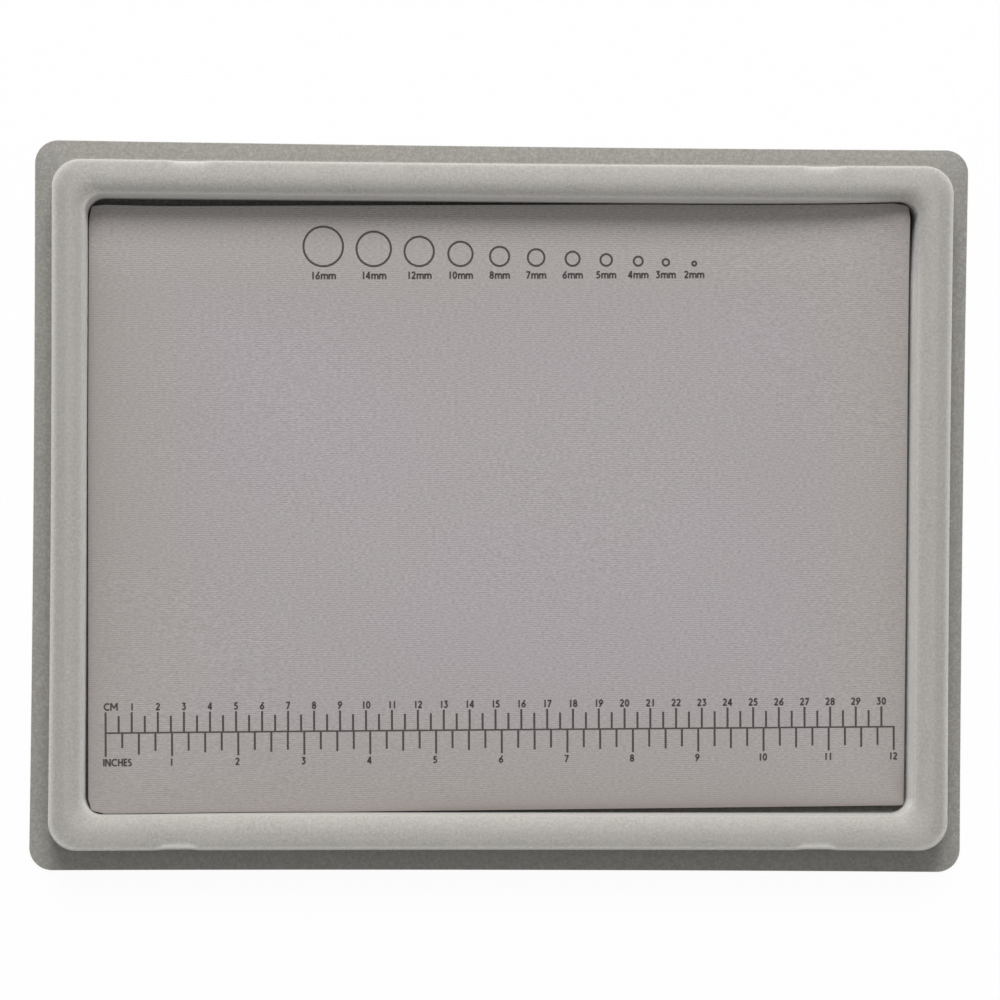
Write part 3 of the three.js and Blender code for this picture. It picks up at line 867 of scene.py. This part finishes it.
def row_group():
    """Knitted rows: a sine across the rows that shows more or less from place to place, narrowed by a sine
    of stitches along them, and a slow drift between two casts of colour."""
    group, given, result = new_group("Knitted rows", ["Pitch", "Drift Size"], ["Row", "Drift"])
    where = add_node(group, "SeparateXYZ", {0: given["Vector"]}).outputs
    wander = times(group, noise(group, given["Vector"], WANDER_RATE), WANDER)
    rate = calculate(group, "DIVIDE", 2 * math.pi, given["Pitch"])
    phase = calculate(group, "ADD", times(group, where["Y"], rate), wander)
    shown = rescale(group, noise(group, given["Vector"], SHOWN_RATE), 0.35, 0.65, 0.15, 1.0)
    row = rescale(group, times(group, calculate(group, "SINE", phase), shown), -1.0, 1.0)
    along = times(group, times(group, where["X"], rate), STITCH_RATE)
    stitch = calculate(group, "SINE", calculate(group, "ADD", along, times(group, phase, STITCH_SLANT)))
    stitch = rescale(group, stitch, -1.0, 1.0, STITCH_LEAST, 1.0)
    drift = noise(group, given["Vector"], calculate(group, "DIVIDE", 1.0, given["Drift Size"]), 2.0)
    group.links.new(times(group, row, stitch), result["Row"])
    group.links.new(rescale(group, drift, 0.35, 0.65), result["Drift"])
    return group


def flecks(tree, where, fleck, patch):
    """The flecks and patches in a material, at sizes given in millimetres."""
    group = bpy.data.node_groups.get("Flecks and patches") or fleck_group()
    sizes = {"Vector": where, "Fleck Size": fleck * MM, "Patch Size": patch * MM}
    return add_node(tree, "Group", sizes, node_tree=group).outputs


def knit_rows(tree, where, drift):
    """The knitted rows in a material, with the size of their drift given in millimetres."""
    group = bpy.data.node_groups.get("Knitted rows") or row_group()
    sizes = {"Vector": where, "Pitch": ROW_PITCH, "Drift Size": drift * MM}
    return add_node(tree, "Group", sizes, node_tree=group).outputs


def new_finish(name, turned_by=None):
    """A material with its tree, its shader and the piece's own coordinates, or these turned back."""
    finish = bpy.data.materials.new(name)
    finish.use_nodes = True
    tree = finish.node_tree
    where = add_node(tree, "TexCoord").outputs["Object"]
    if turned_by is not None:
        where = add_node(tree, "Mapping", {"Vector": where, "Rotation": (0, 0, -turned_by)}).outputs[0]
    return finish, tree, tree.nodes["Principled BSDF"], where


def raise_grain(tree, shader, height, distance, strength):
    """Fine relief from a height that goes from 0 to 1 over a distance given in millimetres."""
    bump = add_node(tree, "Bump", {"Height": height, "Distance": distance * MM, "Strength": strength})
    tree.links.new(bump.outputs["Normal"], shader.inputs["Normal"])


def set_shader(tree, shader, colour_output, roughness, **plain):
    """The shader's colour and roughness, and its plain values."""
    tree.links.new(colour_output, shader.inputs["Base Color"])
    tree.links.new(roughness, shader.inputs["Roughness"])
    for name, value in plain.items():
        shader.inputs[name.replace("_", " ")].default_value = value


def flock_finish(finishes):
    """Short dense pile: light fibre tips over deeper gaps in fine and in coarser flecks, patches brushed
    another way, and the painted highlight and painted shade of its masks."""
    finish, tree, shader, where = new_finish("flock pile")
    grain = flecks(tree, where, fleck=0.35, patch=13)
    mottle = flecks(tree, where, fleck=1.1, patch=4)
    fine = times(tree, grain["Fleck"], FINE_TIPS)
    coarse = times(tree, mottle["Fleck"], COARSE_TIPS)
    tips = calculate(tree, "ADD", fine, coarse)
    pile = between(tree, tips, finishes.flock_deep, finishes.flock_tip)
    pile = between(tree, times(tree, grain["Patch"], BRUSHED), pile, finishes.flock_brushed)
    # Painted light over the pile: shade on the rim, shade on the flange, a highlight on edges and walls,
    # and shade at the wall's foot
    for name, tone, at_gaps, at_tips in (
        ("nap", finishes.flock_napped, 0.9, 0.5),
        ("flat", finishes.flock_flat, 1.0, 0.5),
        ("painted_highlight", finishes.flock_worn, 0.6, 1.0),
        ("deep", finishes.flock_shade, 1.0, 0.8),
    ):
        broken = rescale(tree, tips, 0.2, 0.8, at_gaps, at_tips)
        mask = times(tree, point_mask(tree, name), broken, clamp=True)
        pile = between(tree, mask, pile, tone)
    rough = spread(tree, grain["Fleck"], 1.0, 0.85)
    set_shader(tree, shader, pile, rough, Sheen_Weight=0.8, Sheen_Roughness=0.3, Specular_IOR_Level=0.15)
    raise_grain(tree, shader, grain["Fleck"], distance=0.2, strength=0.6)
    return finish


def knit_finish(finishes, ink):
    """Fine knitted rows along the ruler, broken by short flecks along them, drifting from grey to a mauve
    cast at heart, and with painted shade towards the border."""
    finish, tree, shader, where = new_finish("ribbed knit", ink.turn)
    rows = knit_rows(tree, where, drift=95)
    stretched = add_node(tree, "Mapping", {"Vector": where, "Scale": (FUZZ_STRETCH, 1, 1)}).outputs[0]
    fuzz = flecks(tree, stretched, fleck=0.45, patch=25)["Fleck"]
    drift = times(tree, spread(tree, rows["Drift"], 0.45, 1.0), point_mask(tree, "heart"))
    cast = between(tree, drift, finishes.knit_grey, finishes.knit_mauve)
    broken = spread(tree, fuzz, FUZZ_DARK, FUZZ_LIGHT)
    shade = calculate(tree, "ADD", times(tree, rows["Row"], ROWS), broken)
    cloth = between(tree, shade, finishes.knit_groove, cast)
    # Painted shade towards the knit's edge, by its border mask
    cloth = between(tree, times(tree, point_mask(tree, "border"), BORDER), cloth, finishes.knit_border)
    rough = spread(tree, rows["Row"], 1.0, 0.88)
    set_shader(tree, shader, cloth, rough, Sheen_Weight=0.12, Sheen_Roughness=0.5, Specular_IOR_Level=0.2)
    raise_grain(tree, shader, shade, distance=0.1, strength=0.35)
    return finish


def ink_finish(finishes, ink):
    """Matt print that lies thinner in the grooves of the knit."""
    finish, tree, shader, where = new_finish("printed ink", ink.turn)
    rows = knit_rows(tree, where, drift=20)
    worn = flecks(tree, where, fleck=0.4, patch=6)
    film = times(tree, rows["Row"], spread(tree, worn["Fleck"], 0.6, 1.0))
    print_colour = between(tree, film, finishes.ink_thin, finishes.ink)
    rough = spread(tree, film, 0.95, 0.8)
    set_shader(tree, shader, print_colour, rough, Specular_IOR_Level=0.25)
    raise_grain(tree, shader, rows["Row"], distance=0.1, strength=0.5)
    return finish


def foam_finish(finishes):
    """Fine closed foam: small round cells with darker walls."""
    finish, tree, shader, where = new_finish("closed foam")
    cells = add_node(tree, "TexVoronoi", {"Vector": where, "Scale": 1 / (0.6 * MM)}).outputs["Distance"]
    cells = rescale(tree, cells, 0.1, 0.7)
    grain = flecks(tree, where, fleck=0.8, patch=20)
    foam = between(tree, cells, finishes.foam_light, finishes.foam_dark)
    foam = between(tree, times(tree, grain["Patch"], FOAM_PATCH), foam, finishes.foam_dark)
    rough = spread(tree, grain["Fleck"], 0.85, 1.0)
    set_shader(tree, shader, foam, rough, Specular_IOR_Level=0.3)
    skin = calculate(tree, "SUBTRACT", 1.0, cells)
    raise_grain(tree, shader, skin, distance=0.15, strength=0.5)
    return finish


def sheet_finish(finishes):
    """Satin formed sheet with a faint grain, rubbed a little lighter in patches."""
    finish, tree, shader, where = new_finish("formed sheet")
    grain = flecks(tree, where, fleck=0.7, patch=30)
    rubbed = times(tree, grain["Patch"], grain["Fleck"])
    skin = between(tree, rubbed, finishes.sheet_dark, finishes.sheet_light)
    set_shader(tree, shader, skin, spread(tree, grain["Patch"], 0.5, 0.38))
    raise_grain(tree, shader, grain["Fleck"], distance=0.05, strength=0.4)
    return finish


# Operators


class MakeTrayShell(bpy.types.Operator):
    """Make the formed sheet of the tray, with its hollow rim"""

    bl_idname = "bead_mat.tray_shell"
    bl_label = "Tray Shell"

    def execute(self, context):
        tray = context.scene.bead_tray
        layer = tray_layer(tray, -tray.sheet, 0.0, tray.edge)
        finish = sheet_finish(context.scene.bead_finishes)
        shell = make_piece("tray_sheet", "tray", "styrene", finish, *layer)
        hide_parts("tray_shell")
        return {"FINISHED"}


class MakeTrayFlock(bpy.types.Operator):
    """Make the flock on the tray's upper side"""

    bl_idname = "bead_mat.tray_flock"
    bl_label = "Tray Flock"

    def execute(self, context):
        tray = context.scene.bead_tray
        top = tray.glue + tray.pile
        layer = tray_layer(tray, tray.glue, top, tray.pile_edge)
        finish = flock_finish(context.scene.bead_finishes)
        flock = make_piece("tray_flock", "tray", "flock", finish, *layer)
        set_masks(flock, pile_masks(tray, top, tray.pile_edge))
        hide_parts("flock_pile")
        return {"FINISHED"}


class MakeMatFoam(bpy.types.Operator):
    """Make the mat's foam base"""

    bl_idname = "bead_mat.mat_foam"
    bl_label = "Mat Foam"

    def execute(self, context):
        tray, mat = context.scene.bead_tray, context.scene.bead_mat
        low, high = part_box("mat_foam_base")
        *layer, _ = mat_layer(tray, mat, low.z, high.z, mat.foam_edge)
        finish = foam_finish(context.scene.bead_finishes)
        foam = make_piece("mat_foam", "mat", "foam", finish, *layer)
        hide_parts("mat_foam_base")
        return {"FINISHED"}


class MakeRuler(bpy.types.Operator):
    """Print the ruler's line, its ticks and its figures"""

    bl_idname = "bead_mat.ruler"
    bl_label = "Ruler"

    def execute(self, context):
        scene = context.scene
        tray, mat, ink = scene.bead_tray, scene.bead_mat, scene.bead_print
        finish = ink_finish(scene.bead_finishes, ink)
        zero = (-ink.ruler_length / 2, -ink.ruler_drop)
        base = as_points(np.linspace(-ink.line / 2, ink.ruler_length + ink.line / 2, BASE_STEPS + 1), 0.0)
        ticks = strips(self.ticks(ink) + zero, ink.line, tray, mat, ink)
        long_line = strips(base[None] + zero, ink.base_line, tray, mat, ink)
        vertices = np.concatenate([ticks[0], long_line[0]])
        faces = [*ticks[1:], *[block + len(ticks[0]) for block in long_line[1:]]]
        ruler = make_piece("ruler", "mat", "ink", finish, vertices, *faces)
        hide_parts("ruler_scale")
        figures = strips(np.stack(self.figures(ink)) + zero, ink.stroke * ink.figure, tray, mat, ink)
        make_piece("ruler_figures", "mat", "ink", finish, *figures)
        return {"FINISHED"}

    def ticks(self, ink):
        """Short paths from the ruler's line: half centimetres upwards, then quarter inches downwards."""
        start = ink.base_line / 2
        step = np.arange(int(2 * ink.ruler_length / CENTIMETRE) + 1)
        reach = np.where(step % 2 == 0, ink.whole_centimetre, ink.half_centimetre)
        places = step * CENTIMETRE / 2
        up = np.stack([as_points(places, start), as_points(places, reach)], axis=1)
        step = np.arange(round(4 * ink.ruler_length / INCH) + 1)
        reach = np.array([ink.whole_inch, ink.quarter_inch, ink.half_inch, ink.quarter_inch])[step % 4]
        reach[1:3] = ink.first_quarter, ink.first_half
        places = step * INCH / 4
        down = np.stack([as_points(places, -start), as_points(places, -reach)], axis=1)
        return np.concatenate([up, down])

    def figures(self, ink):
        """The strokes of all figures and unit names, from the ruler's zero."""
        high = ink.whole_centimetre + ink.above
        low = -(ink.whole_inch + ink.below + ink.figure)
        strokes = sign_row("CM", ink.word, CM_START, high, centred=False)
        strokes += sign_row("INCHES", ink.word, INCHES_START, low, centred=False)
        for number in range(1, int(ink.ruler_length / CENTIMETRE) + 1):
            strokes += sign_row(str(number), ink.figure, number * CENTIMETRE, high)
        for number in range(1, round(ink.ruler_length / INCH) + 1):
            strokes += sign_row(str(number), ink.figure, number * INCH - ink.inch_shift, low)
        return strokes


class MakeBeadRings(bpy.types.Operator):
    """Print the row of bead-size rings and their labels"""

    bl_idname = "bead_mat.bead_rings"
    bl_label = "Bead Rings"

    def execute(self, context):
        scene = context.scene
        tray, mat, ink = scene.bead_tray, scene.bead_mat, scene.bead_print
        finish = ink_finish(scene.bead_finishes, ink)
        strokes = []
        for name, middle, bead in zip(RING_NODES, *ring_places(tray, ink)):
            radius = (ink.ring_scale * bead + ink.ring_growth - ink.line) / 2
            circle = arc(middle, radius, 0, 2 * math.pi, CIRCLE_STEPS)[None, :-1]
            ring = strips(circle, ink.line, tray, mat, ink, closed=True)
            piece = make_piece(f"{name}_print", "mat", "ink", finish, *ring)
            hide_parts(name)
            foot = middle[1] - bead / 2 - ink.label_drop - ink.label / 2
            strokes += sign_row(f"{round(bead / MM)}mm", ink.label, middle[0], foot)
        labels = strips(np.stack(strokes), ink.stroke * ink.label, tray, mat, ink)
        make_piece("ring_labels", "mat", "ink", finish, *labels)
        return {"FINISHED"}


class MakeMatKnit(bpy.types.Operator):
    """Make the mat's knitted face, under the print"""

    bl_idname = "bead_mat.mat_knit"
    bl_label = "Mat Knit"

    def execute(self, context):
        scene = context.scene
        tray, mat = scene.bead_tray, scene.bead_mat
        low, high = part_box("mat_knit_face")
        *layer, inward = mat_layer(tray, mat, low.z, high.z, mat.knit_edge)
        finish = knit_finish(scene.bead_finishes, scene.bead_print)
        knit = make_piece("mat_knit", "mat", "knit", finish, *layer)
        set_masks(knit, knit_masks(tray, mat, layer[0], inward))
        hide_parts("mat_knit_face")
        return {"FINISHED"}


class MakeStage(bpy.types.Operator):
    """Make the floor, the lights and the camera"""

    bl_idname = "bead_mat.stage"
    bl_label = "Stage"

    def execute(self, context):
        scene, stage = context.scene, context.scene.bead_stage
        scene.view_settings.view_transform = "Standard"
        self.make_floor(scene, stage)
        self.make_world(scene, stage)
        self.make_key(scene, stage)
        self.make_camera(scene, stage)
        return {"FINISHED"}

    def make_floor(self, scene, stage):
        """A level square just under the tray. Seen directly, most of its white is plain."""
        side = stage.floor_size / 2
        corners = [(-side, -side), (side, -side), (side, side), (-side, side)]
        mesh = bpy.data.meshes.new("floor")
        mesh.from_pydata([(x, y, -FLOOR_DROP) for x, y in corners], [], [(0, 1, 2, 3)])
        finish, tree, shader, where = new_finish("pale floor")
        rough = spread(tree, flecks(tree, where, fleck=3, patch=400)["Patch"], 0.75, 0.95)
        tree.links.new(rough, shader.inputs["Roughness"])
        shader.inputs["Base Color"].default_value = (*scene.bead_finishes.floor, 1.0)
        shader.inputs["Specular IOR Level"].default_value = 0.1
        seen = times(tree, self.seen_rays(tree), stage.floor_white)
        self.show_white(tree, "Emission", seen, shader, "Material Output")
        mesh.materials.append(finish)
        floor = bpy.data.objects.new("floor", mesh)
        scene.collection.objects.link(floor)

    def seen_rays(self, tree):
        """1 on rays that carry the background to the eye: direct, mirrored or through glass."""
        path = add_node(tree, "LightPath").outputs
        seen = calculate(tree, "MAXIMUM", path["Is Camera Ray"], path["Is Glossy Ray"])
        return calculate(tree, "MAXIMUM", seen, path["Is Transmission Ray"])

    def show_white(self, tree, kind, seen, shader, output):
        """Plain white of one kind of node over a shader, by a mask, on the tree's output."""
        white = add_node(tree, kind, {"Color": (1, 1, 1, 1), "Strength": 1.0})
        mixed = add_node(tree, "MixShader", {0: seen, 1: shader.outputs[0], 2: white.outputs[0]})
        tree.links.new(mixed.outputs[0], tree.nodes[output].inputs["Surface"])

    def make_world(self, scene, stage):
        """White where it is seen, and an even fill for the object."""
        world = bpy.data.worlds.new("studio")
        scene.world = world
        world.use_nodes = True
        tree = world.node_tree
        fill = tree.nodes["Background"]
        fill.inputs["Color"].default_value = (1, 1, 1, 1)
        fill.inputs["Strength"].default_value = stage.fill
        self.show_white(tree, "Background", self.seen_rays(tree), fill, "World Output")

    def make_key(self, scene, stage):
        """One soft light behind the tray, facing its middle."""
        data = bpy.data.lights.new("key", "AREA")
        data.shape = "ELLIPSE"
        data.size, data.size_y = stage.key_width, stage.key_height
        data.energy = stage.key_power
        key = bpy.data.objects.new("key", data)
        key.location = stage.key
        key.rotation_euler = (-Vector(stage.key)).to_track_quat("-Z", "Y").to_euler()
        scene.collection.objects.link(key)

    def make_camera(self, scene, stage):
        """The camera's axes: back from the look, and across and up square to it."""
        back = -Vector(stage.look).normalized()
        across = Vector(stage.up).cross(back).normalized()
        axes = Matrix((across, back.cross(across), back)).transposed()
        data = bpy.data.cameras.new("camera")
        data.lens = stage.lens
        camera = bpy.data.objects.new("camera", data)
        camera.matrix_world = Matrix.Translation(stage.camera) @ axes.to_4x4()
        scene.collection.objects.link(camera)
        scene.camera = camera


OPERATORS = [MakeStage, MakeTrayShell, MakeTrayFlock, MakeMatFoam, MakeRuler, MakeBeadRings, MakeMatKnit]
SCENE_GROUPS = {
    "bead_tray": TraySizes,
    "bead_mat": MatSizes,
    "bead_print": PrintSizes,
    "bead_finishes": Finishes,
    "bead_stage": StageSettings,
}


class BeadMatPanel(bpy.types.Panel):
    """Lists the pieces and their sizes"""

    bl_idname = "VIEW3D_PT_bead_mat"
    bl_label = "Bead Mat"
    bl_space_type = "VIEW_3D"
    bl_region_type = "UI"
    bl_category = "Bead Mat"

    def draw(self, context):
        column = self.layout.column()
        for operator in OPERATORS:
            column.operator(operator.bl_idname)
        for group in SCENE_GROUPS:
            values = getattr(context.scene, group)
            column.separator()
            for name in values.bl_rna.properties.keys():
                if name not in {"name", "rna_type"}:
                    column.prop(values, name)


def register():
    for kind in [*SCENE_GROUPS.values(), *OPERATORS, BeadMatPanel]:
        bpy.utils.register_class(kind)
    for name, kind in SCENE_GROUPS.items():
        setattr(bpy.types.Scene, name, PointerProperty(type=kind))


def unregister():
    for name in SCENE_GROUPS:
        delattr(bpy.types.Scene, name)
    for kind in [BeadMatPanel, *OPERATORS, *SCENE_GROUPS.values()]:
        bpy.utils.unregister_class(kind)


def main():
    register()
    bpy.ops.bead_mat.stage()
    bpy.ops.bead_mat.tray_shell()
    bpy.ops.bead_mat.tray_flock()
    bpy.ops.bead_mat.mat_foam()
    bpy.ops.bead_mat.ruler()
    bpy.ops.bead_mat.bead_rings()
    bpy.ops.bead_mat.mat_knit()


if __name__ == "__main__":
    main()
